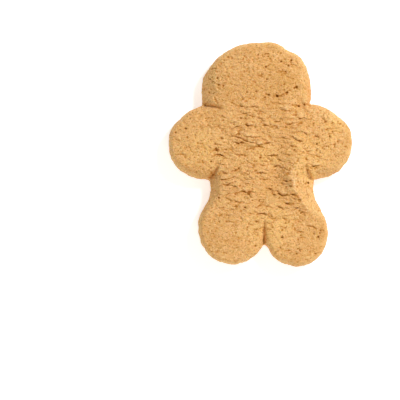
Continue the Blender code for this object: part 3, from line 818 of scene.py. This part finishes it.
class Relief:
    """The form of the rim and the top, with its own tears, flakes and pits."""

    def __init__(self, inset):
        self.tears = drawn_tears(inset)
        self.flakes = drawn_flakes(inset)
        self.pits = drawn_pits(inset)

    def at(self, x, y, inset):
        """Height, lean towards the feet, how raised each point looks for painted light and shade, how torn,
        and browning and painted shading.
        """
        spread = tornness(x, y)
        tear, lean = tear_relief(x, y, self.tears)
        flake, flake_lean = tear_relief(x, y, self.flakes, FLAKE_SCALE)
        plates = plate_relief(x, y, PLATES) * spread
        plates += plate_relief(x, y, SMALL_PLATES) * added(SMALL_PLATE_SHARES, spread)
        rough = rough_crumb(x, y)
        pit = pit_relief(x, y, self.pits)

        height, torn = bare_form(x, y, inset)
        height += torn * (tear + plates - spots(x, y, HOLLOWS))
        height += smooth_step(inset, *BURR_INSETS) * burr_relief(x, y)
        height += smooth_step(inset, *LUMP_INSETS) * spots(x, y, (ARM_LUMP,))
        share = crease_share(x, y) * smooth_step(inset, 0.0, LIP_INSET)
        height -= (height - WIDEST_Z) * share
        height += fine_relief(x, y, inset, torn, flake, rough, pit)
        over = np.maximum(height - CEILING_START, 0.0)
        height = np.where(over > 0, CEILING_START + CEILING_ROOM * np.tanh(over / CEILING_ROOM), height)

        # How raised each point looks: painted highlights on raised points and painted shade on low ones, in
        # pits, in creases and along the burr
        raised = torn * (TEAR_TONE * tear + FLAKE_TONE * flake + PLATE_TONE * plates)
        raised = (raised + PIT_TONE * pit + ROUGH_TONE * rough) / TONE_DEPTH
        raised += burr_painted_light(x, y, inset) - CREASE_PAINTED_SHADE * share
        lean = torn * TEAR_OVERHANG * (lean + FLAKE_OVERHANG * flake_lean)
        return height, lean, np.clip(raised, -1.0, 1.0), torn, spots(x, y, BROWNING_AND_PAINTED_SHADING)


def edge_rings(edge, inwards, relief):
    """Rings from the rim of the base, round the widest line, up to the lip of the top.

    The looks that go with a ring are how raised its points look for painted light and shade, how torn they
    are, and their browning and painted shading."""
    x, y = edge[:, 0], edge[:, 1]
    wave = SIDE_WAVE * noise(x + y, x - y, SIDE_WAVE_SIZE, SIDE_WAVE_SEED)
    travelled = np.cumsum(np.linalg.norm(np.roll(edge, -1, axis=0) - edge, axis=1))
    rings, looks = [], []
    for step in range(FOOT_STEPS + SHOULDER_STEPS + 1):
        if step < FOOT_STEPS:
            angle = math.pi / 2 * (step / FOOT_STEPS) ** FOOT_CROWDING
            inset = FOOT_INSET * (1 - math.sin(angle)) + wave * math.sin(angle)
            height = np.full(len(edge), WIDEST_Z * (1 - math.cos(angle)))
            ring_looks = np.zeros((3, len(edge)))
            rough = math.sin(angle)
        else:
            share = (step - FOOT_STEPS) / SHOULDER_STEPS
            lip = LIP_INSET * share**2
            inset = lip + wave * (1 - share)
            place = edge + inwards * inset[:, None]
            height, _, *ring_looks = relief.at(place[:, 0], place[:, 1], np.full(len(edge), lip))
            rough = 1 - share
        inset = inset + rough * layered_noise(travelled, height, SKIN, SIDE_SKIN_SEED)
        rings.append(np.column_stack([edge + inwards * inset[:, None], height]))
        looks.append(np.array(ring_looks))
    return rings, looks


def grid_points(spacing, margin, inset, random):
    """Uneven triangular grid of points, all more than margin inside the edge."""
    reach_x, reach_y = GRID_FIELD
    row_spacing = spacing * math.sqrt(3) / 2
    x, y = np.meshgrid(np.arange(-reach_x, reach_x, spacing), np.arange(-reach_y, reach_y, row_spacing))
    x = x + (np.arange(len(x)) % 2)[:, None] * spacing / 2
    points = np.stack([x.ravel(), y.ravel()], axis=1)
    points += random.uniform(-JITTER, JITTER, points.shape) * spacing
    points = points[outline_distance(points[:, 0], points[:, 1]) < 0]
    return points[inset(points[:, 0], points[:, 1]) > margin]


def triangulated(ring, inner):
    """Triangles over the region inside a ring: indices count the ring's points first, then the inner ones."""
    flat = [tuple(point) for point in np.concatenate([ring, inner])]
    found = delaunay_2d_cdt(flat, [], [list(range(len(ring)))], 1, 1e-6)
    origin = [sources[0] for sources in found[3]]
    return [tuple(origin[corner] for corner in face) for face in found[2]]


def add_attribute(mesh, name, values):
    mesh.attributes.new(name, "FLOAT", "POINT").data.foreach_set("value", np.asarray(values, np.float32))


def baked_cookie():
    """The whole closed skin as one object, with how raised it looks for painted light and shade, how torn,
    and its browning and painted shading as attributes.
    """
    random = np.random.default_rng(TEAR_SEED + 1)
    outline, outline_inwards = traced_outline()
    inset = inset_finder(outline)
    relief = Relief(inset)
    edge, inwards = columns_round(outline, outline_inwards)
    rings, looks = edge_rings(edge, inwards, relief)
    count = len(edge)

    inner = grid_points(SPACING, LIP_INSET + GRID_MARGIN * SPACING, inset, random)
    height, lean, *top_looks = relief.at(inner[:, 0], inner[:, 1], inset(inner[:, 0], inner[:, 1]))
    floor = grid_points(BASE_SPACING, FOOT_INSET + GRID_MARGIN * BASE_SPACING, inset, random)
    looks += [np.array(top_looks), np.zeros((3, len(floor)))]

    top = np.column_stack([inner[:, 0], inner[:, 1] - lean, height])
    base = np.column_stack([floor, np.zeros(len(floor))])
    vertices = np.concatenate([*rings, top, base])
    faces = []
    for level in range(len(rings) - 1):
        for column in range(count):
            across = (column + 1) % count
            low, high = level * count, (level + 1) * count
            faces.append((low + column, low + across, high + across, high + column))
    top_start = (len(rings) - 1) * count
    faces += [tuple(top_start + corner for corner in face) for face in triangulated(rings[-1][:, :2], inner)]
    floor_start = len(vertices) - len(floor)
    for face in triangulated(rings[0][:, :2], floor):
        faces.append(tuple(c if c < count else floor_start + c - count for c in reversed(face)))

    middle = (outline.min(axis=0) + outline.max(axis=0)) / 2
    mesh = bpy.data.meshes.new("baked_cookie")
    mesh.from_pydata(((vertices - (*middle, 0.0)) * MM).tolist(), [], faces)
    for name, values in zip(("raised", "torn", "browning_and_shading"), np.concatenate(looks, axis=1)):
        add_attribute(mesh, name, values)
    mesh.shade_smooth()
    piece = bpy.data.objects.new("baked_cookie", mesh)
    bpy.context.scene.collection.objects.link(piece)
    return piece


def srgb(red, green, blue):
    """The linear colour of an 8-bit sRGB one."""
    def linear(value):
        value /= 255.0
        return value / 12.92 if value <= 0.04045 else ((value + 0.055) / 1.055) ** 2.4
    return (linear(red), linear(green), linear(blue), 1.0)


class Nodes:
    """A material's node tree, with short ways to add what the crumb needs."""

    def __init__(self, name):
        self.material = bpy.data.materials.new(name)
        self.material.use_nodes = True
        self.tree = self.material.node_tree
        self.shader = self.tree.nodes["Principled BSDF"]
        self.place = self.add("ShaderNodeTexCoord").outputs["Object"]

    def add(self, kind, **settings):
        node = self.tree.nodes.new(kind)
        for name, value in settings.items():
            setattr(node, name, value)
        return node

    def link(self, source, target):
        """Joins a socket to the target, or gives the target a plain value."""
        if isinstance(source, bpy.types.NodeSocket):
            self.tree.links.new(source, target)
        else:
            target.default_value = source

    def noise(self, size_mm, detail=2.0, roughness=0.5, scaling=None):
        """Noise whose bumps are about this size, and longer along an axis that is scaled down."""
        place = self.place
        if scaling:
            mapping = self.add("ShaderNodeMapping")
            mapping.inputs["Scale"].default_value = scaling
            self.link(place, mapping.inputs["Vector"])
            place = mapping.outputs["Vector"]
        node = self.add("ShaderNodeTexNoise")
        node.inputs["Scale"].default_value = 1.0 / (size_mm * MM)
        node.inputs["Detail"].default_value = detail
        node.inputs["Roughness"].default_value = roughness
        self.link(place, node.inputs["Vector"])
        return node.outputs["Fac"]

    def specks(self, size_mm):
        """Distance to scattered points, as a share of size, uneven so that specks aren't round."""
        node = self.add("ShaderNodeTexVoronoi")
        node.inputs["Scale"].default_value = 1.0 / (size_mm * MM)
        self.link(self.place, node.inputs["Vector"])
        ragged_size, ragged_share = SPECK_RAGGED
        uneven = self.ramp(self.noise(ragged_size), 0.25, 0.75, -ragged_share, ragged_share)
        return self.math("ADD", node.outputs["Distance"], uneven)

    def ramp(self, source, low, high, to_low=0.0, to_high=1.0):
        """Goes smoothly from to_low, where the source is low, to to_high, where it is high."""
        node = self.add("ShaderNodeMapRange")
        node.interpolation_type = "SMOOTHSTEP"
        for name, value in zip(("From Min", "From Max", "To Min", "To Max"), (low, high, to_low, to_high)):
            node.inputs[name].default_value = value
        self.link(source, node.inputs["Value"])
        return node.outputs["Result"]

    def math(self, operation, first, second):
        node = self.add("ShaderNodeMath", operation=operation)
        self.link(first, node.inputs[0])
        self.link(second, node.inputs[1])
        return node.outputs["Value"]

    def times(self, first, second):
        return self.math("MULTIPLY", first, second)

    def mix(self, share, first, second):
        """The first colour, with this share of it replaced by the second."""
        node = self.add("ShaderNodeMix", data_type="RGBA")
        self.link(share, node.inputs["Factor"])
        self.link(first, node.inputs[6])
        self.link(second, node.inputs[7])
        return node.outputs[2]

    def attribute(self, name):
        return self.add("ShaderNodeAttribute", attribute_name=name).outputs["Fac"]


# Colours of the crumb. Some also paint light and shade: the pale one is the painted highlight of raised
# points, the hollow and pit ones are painted shade, the honey one is painted light in paler patches, the
# dusky one is painted shade in darker patches, and the spice brown is painted shade in the finest cracks
CRUMB_TAN = srgb(235, 183, 118)
CRUMB_GOLD = srgb(246, 200, 136)
CRUMB_SHADE = srgb(219, 161, 92)
PALE_DUST_AND_HIGHLIGHT = srgb(252, 214, 164)
HOLLOW_PAINTED_SHADE = srgb(190, 118, 14)
HONEY_AND_PAINTED_LIGHT = srgb(255, 208, 130)
DUSKY_CRUMB_AND_PAINTED_SHADE = srgb(208, 153, 80)
PIT_PAINTED_SHADE = srgb(134, 78, 5)
SPICE_BROWN_AND_PAINTED_SHADE = srgb(160, 97, 12)
RIM_TAN = srgb(237, 193, 130)
EDGE_BAKED = srgb(230, 160, 102)
BASE_BAKED = srgb(178, 108, 54)

# Sizes of what the colours show, in millimetres, and the scaling of what lies across the top or is upright
PATCH_SIZE = 7.0
GOLD_SIZE = 1.3
RIM_SIZE = 2.6
BAKED_SIZE = 5.0
GRAIN_SIZE = 0.5
DUST_SIZE = 0.5
DUSTY_SIZE = 4.0
LINE_SIZE = 0.45
MARK_SIZE = 0.42
SHEEN_SIZE = 1.0
GRIT_SIZE = 0.32
COARSE_GRIT_SIZE = 0.9
SLIGHTLY_ACROSS = (0.7, 1.0, 1.0)
ACROSS = (0.35, 1.0, 1.0)
UPRIGHT = (1.0, 0.35, 0.35)

# Heights between which the edge and the base brown
EDGE_BAKED_Z = (9.5 * MM, 6.5 * MM)
BASE_BAKED_Z = (2.2 * MM, 0.2 * MM)

# Spice specks: spacing, and the distances, as shares of it, at which they begin and are full. They are
# ragged by waves of this size and share, and thicker in patches this many times their spacing.
SPICE_SPECKS = ((1.2, 0.22, 0.08), (2.1, 0.15, 0.05))
SPECK_SHARE = 0.7
SPECK_RAGGED = (0.35, 0.09)
SPECK_PATCHES = 2.0

# The finish: roughness, gloss, the light that the crumb lets in, and the finest grit's bump
ROUGHNESSES = (0.72, 0.92)
GLOSS = 0.15
GLOW_SHARE = 0.2
GLOW_REACH = (1.0, 0.45, 0.12)
GLOW_SCALE = 1.0 * MM
COARSE_GRIT_SHARE = 0.8
GRIT_BUMP = 0.6
GRIT_HEIGHT = 0.4 * MM


def ground_colour(n, torn):
    """The crumb's patches, from shade to gold, and the even tan of the rim."""
    colour = n.mix(n.ramp(n.noise(PATCH_SIZE, 3.0), 0.35, 0.65, 0.55, 1.0), CRUMB_SHADE, CRUMB_TAN)
    gold = n.ramp(n.noise(GOLD_SIZE, 3.0, 0.6, SLIGHTLY_ACROSS), 0.45, 0.75)
    rim = n.mix(n.ramp(n.noise(RIM_SIZE, 3.0), 0.3, 0.7), RIM_TAN, CRUMB_TAN)
    return n.mix(torn, rim, n.mix(gold, colour, CRUMB_GOLD))


def browning_and_shading_colour(n, colour, browning_and_shading):
    """The baked edge, the brown base, and darker or paler patches of the top: partly real browning, partly
    painted shade and painted light.
    """
    split = n.add("ShaderNodeSeparateXYZ")
    n.link(n.place, split.inputs["Vector"])
    z = split.outputs["Z"]
    baked = n.ramp(n.noise(BAKED_SIZE), 0.45, 0.62, 0.0, 0.3)
    baked = n.math("ADD", baked, n.ramp(browning_and_shading, 0.2, 0.9, 0.0, 0.6))
    colour = n.mix(n.times(baked, n.ramp(z, *EDGE_BAKED_Z)), colour, EDGE_BAKED)
    colour = n.mix(n.ramp(z, *BASE_BAKED_Z), colour, BASE_BAKED)
    # Darker patches: partly real browning, partly painted shade. Paler patches: painted light
    colour = n.mix(n.ramp(browning_and_shading, 0.0, 1.6, 0.0, 0.55), colour, DUSKY_CRUMB_AND_PAINTED_SHADE)
    return n.mix(n.ramp(browning_and_shading, 0.0, -1.0, 0.0, 0.35), colour, HONEY_AND_PAINTED_LIGHT)


def grainy_colour(n, colour, torn):
    """Dark grains, patchy dust, short lines of painted shade across the torn top, and upright marks where it
    isn't torn.
    """
    colour = n.mix(n.ramp(n.noise(GRAIN_SIZE, 2.0, 0.6), 0.38, 0.28, 0.0, 0.6), colour, SPICE_BROWN_AND_PAINTED_SHADE)
    dust = n.noise(DUST_SIZE, 1.0)
    dusty = n.ramp(n.noise(DUSTY_SIZE), 0.35, 0.65, 0.45, 1.2)
    colour = n.mix(n.times(n.ramp(dust, 0.50, 0.70, 0.0, 0.35), dusty), colour, PALE_DUST_AND_HIGHLIGHT)
    colour = n.mix(n.times(n.ramp(dust, 0.50, 0.30, 0.0, 0.62), dusty), colour, DUSKY_CRUMB_AND_PAINTED_SHADE)
    # Short dark lines across the torn top: painted shade of the finest cracks
    lines = n.ramp(n.noise(LINE_SIZE, 2.0, 0.6, ACROSS), 0.42, 0.30)
    colour = n.mix(n.times(lines, n.ramp(torn, 0.2, 0.9, 0.0, 0.9)), colour, SPICE_BROWN_AND_PAINTED_SHADE)
    marks = n.ramp(n.noise(MARK_SIZE, 2.0, 0.6, UPRIGHT), 0.46, 0.34)
    return n.mix(n.times(marks, n.ramp(torn, 0.6, 0.1, 0.0, 0.55)), colour, SPICE_BROWN_AND_PAINTED_SHADE)


def specked_colour(n, colour):
    """Spice specks of each size, in clusters, and the dents that they make."""
    dents = 0.0
    for size, begins, full in SPICE_SPECKS:
        patches = n.ramp(n.noise(SPECK_PATCHES * size), 0.46, 0.56)
        specks = n.times(n.ramp(n.specks(size), begins, full), patches)
        colour = n.mix(n.times(specks, SPECK_SHARE), colour, SPICE_BROWN_AND_PAINTED_SHADE)
        dents = n.math("ADD", dents, specks)
    return colour, dents


def crumb_material():
    """A matte crumb, coloured by how torn it is, its browning and painted shading, and painted light and
    shade by how raised it looks, with the finest grit as bump.
    """
    n = Nodes("ginger_crumb")
    torn, raised, browning_and_shading = n.attribute("torn"), n.attribute("raised"), n.attribute("browning_and_shading")
    colour = browning_and_shading_colour(n, ground_colour(n, torn), browning_and_shading)
    colour, dents = specked_colour(n, grainy_colour(n, colour, torn))
    # Painted highlights on raised points, and painted shade on low ones, deepest in pits and creases
    colour = n.mix(n.ramp(raised, 0.05, 0.6, 0.0, 0.6), colour, PALE_DUST_AND_HIGHLIGHT)
    colour = n.mix(n.ramp(raised, -0.05, -0.5, 0.0, 0.6), colour, HOLLOW_PAINTED_SHADE)
    colour = n.mix(n.ramp(raised, -0.35, -0.95, 0.0, 0.85), colour, PIT_PAINTED_SHADE)
    n.link(colour, n.shader.inputs["Base Color"])

    n.link(n.ramp(n.noise(SHEEN_SIZE), 0.3, 0.7, *ROUGHNESSES), n.shader.inputs["Roughness"])
    n.shader.inputs["Specular IOR Level"].default_value = GLOSS
    n.shader.inputs["Subsurface Weight"].default_value = GLOW_SHARE
    n.shader.inputs["Subsurface Radius"].default_value = GLOW_REACH
    n.shader.inputs["Subsurface Scale"].default_value = GLOW_SCALE
    grit = n.times(n.noise(COARSE_GRIT_SIZE), COARSE_GRIT_SHARE)
    grit = n.math("ADD", n.noise(GRIT_SIZE, 3.0, 0.65), grit)
    bump = n.add("ShaderNodeBump")
    bump.inputs["Strength"].default_value = GRIT_BUMP
    bump.inputs["Distance"].default_value = GRIT_HEIGHT
    n.link(n.math("SUBTRACT", grit, dents), bump.inputs["Height"])
    n.link(bump.outputs["Normal"], n.shader.inputs["Normal"])
    return n.material


def floor_material():
    """A pale, matte, slightly glowing floor with the faintest unevenness of tone."""
    n = Nodes("pale_floor")
    n.shader.inputs["Emission Color"].default_value = FLOOR_COLOUR
    n.shader.inputs["Emission Strength"].default_value = FLOOR_GLOW
    n.shader.inputs["Roughness"].default_value = FLOOR_ROUGHNESS
    tint = n.ramp(n.noise(FLOOR_PATCH_SIZE), 0.3, 0.7)
    n.link(n.mix(tint, FLOOR_COLOUR, FLOOR_TINT), n.shader.inputs["Base Color"])
    return n.material


# The floor: its width in metres, two tones of grey that differ by a hundredth, and the size of their patches
FLOOR_WIDTH = 3.0
FLOOR_COLOUR = (0.88, 0.88, 0.88, 1.0)
FLOOR_TINT = (0.8712, 0.8712, 0.8712, 1.0)
FLOOR_PATCH_SIZE = 60.0
FLOOR_ROUGHNESS = 0.6
FLOOR_GLOW = 0.6

# Lights: name, place and width in lengths of the cookie's diagonal, power in watts, colour. They are aimed
# this many diagonals above the floor.
STUDIO_LIGHTS = (
    ("key", (4.1, 3.8, 5.6), 1.7, 6.55, (0.99, 1.0, 1.05)),
    ("fill", (0.5, -3.3, 3.0), 3.0, 0.81, (1.0, 1.0, 1.0)),
)
LIGHT_AIM = 0.125
SKY_COLOUR = (1.0, 0.955, 0.83, 1.0)
SKY_STRENGTH = 0.46


def aim(thing, target):
    thing.rotation_euler = (Vector(target) - thing.location).to_track_quat("-Z", "Y").to_euler()


def add_area_light(name, location, target, size, power, colour):
    light = bpy.data.lights.new(name, "AREA")
    light.shape = "DISK"
    light.size = size
    light.energy = power
    light.color = colour
    lamp = bpy.data.objects.new(name, light)
    lamp.location = location
    bpy.context.scene.collection.objects.link(lamp)
    aim(lamp, target)


# The view: straight down, with the cookie up and to the right of the middle. Its width and middle are in
# metres, and its lens and sensor in millimetres.
VIEW_WIDTH = 0.172
VIEW_LENS = 110.0
VIEW_SENSOR = 36.0
VIEW_MIDDLE = (-0.0260, -0.0196)
VIEW_DEPTHS = (0.01, 10.0)


def add_camera(top):
    camera = bpy.data.cameras.new("camera")
    camera.lens = VIEW_LENS
    camera.sensor_width = VIEW_SENSOR
    eye = bpy.data.objects.new("camera", camera)
    distance = VIEW_WIDTH * VIEW_LENS / VIEW_SENSOR
    eye.location = (*VIEW_MIDDLE, top / 2 + distance)
    camera.clip_start, camera.clip_end = VIEW_DEPTHS
    bpy.context.scene.collection.objects.link(eye)
    bpy.context.scene.camera = eye


def add_floor():
    half = FLOOR_WIDTH / 2
    mesh = bpy.data.meshes.new("floor")
    corners = [(-half, -half, 0.0), (half, -half, 0.0), (half, half, 0.0), (-half, half, 0.0)]
    mesh.from_pydata(corners, [], [(0, 1, 2, 3)])
    mesh.materials.append(floor_material())
    ground = bpy.data.objects.new("floor", mesh)
    bpy.context.scene.collection.objects.link(ground)


def add_studio(size):
    """The floor, a key and a fill light, and a soft warm sky."""
    add_floor()
    target = (0.0, 0.0, LIGHT_AIM * size)
    for name, place, width, power, colour in STUDIO_LIGHTS:
        add_area_light(name, [far * size for far in place], target, width * size, power, colour)
    world = bpy.data.worlds.new("studio")
    bpy.context.scene.world = world
    world.use_nodes = True
    world.node_tree.nodes["Background"].inputs["Color"].default_value = SKY_COLOUR
    world.node_tree.nodes["Background"].inputs["Strength"].default_value = SKY_STRENGTH


def main():
    low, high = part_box("cookie")
    scene = bpy.context.scene
    scene.view_settings.view_transform = "Standard"
    add_camera(high.z)
    add_studio((high - low).length)
    cookie = baked_cookie()
    cookie.data.materials.append(crumb_material())
    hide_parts("cookie")
    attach(cookie, "root")


main()
bpy.context.view_layer.update()
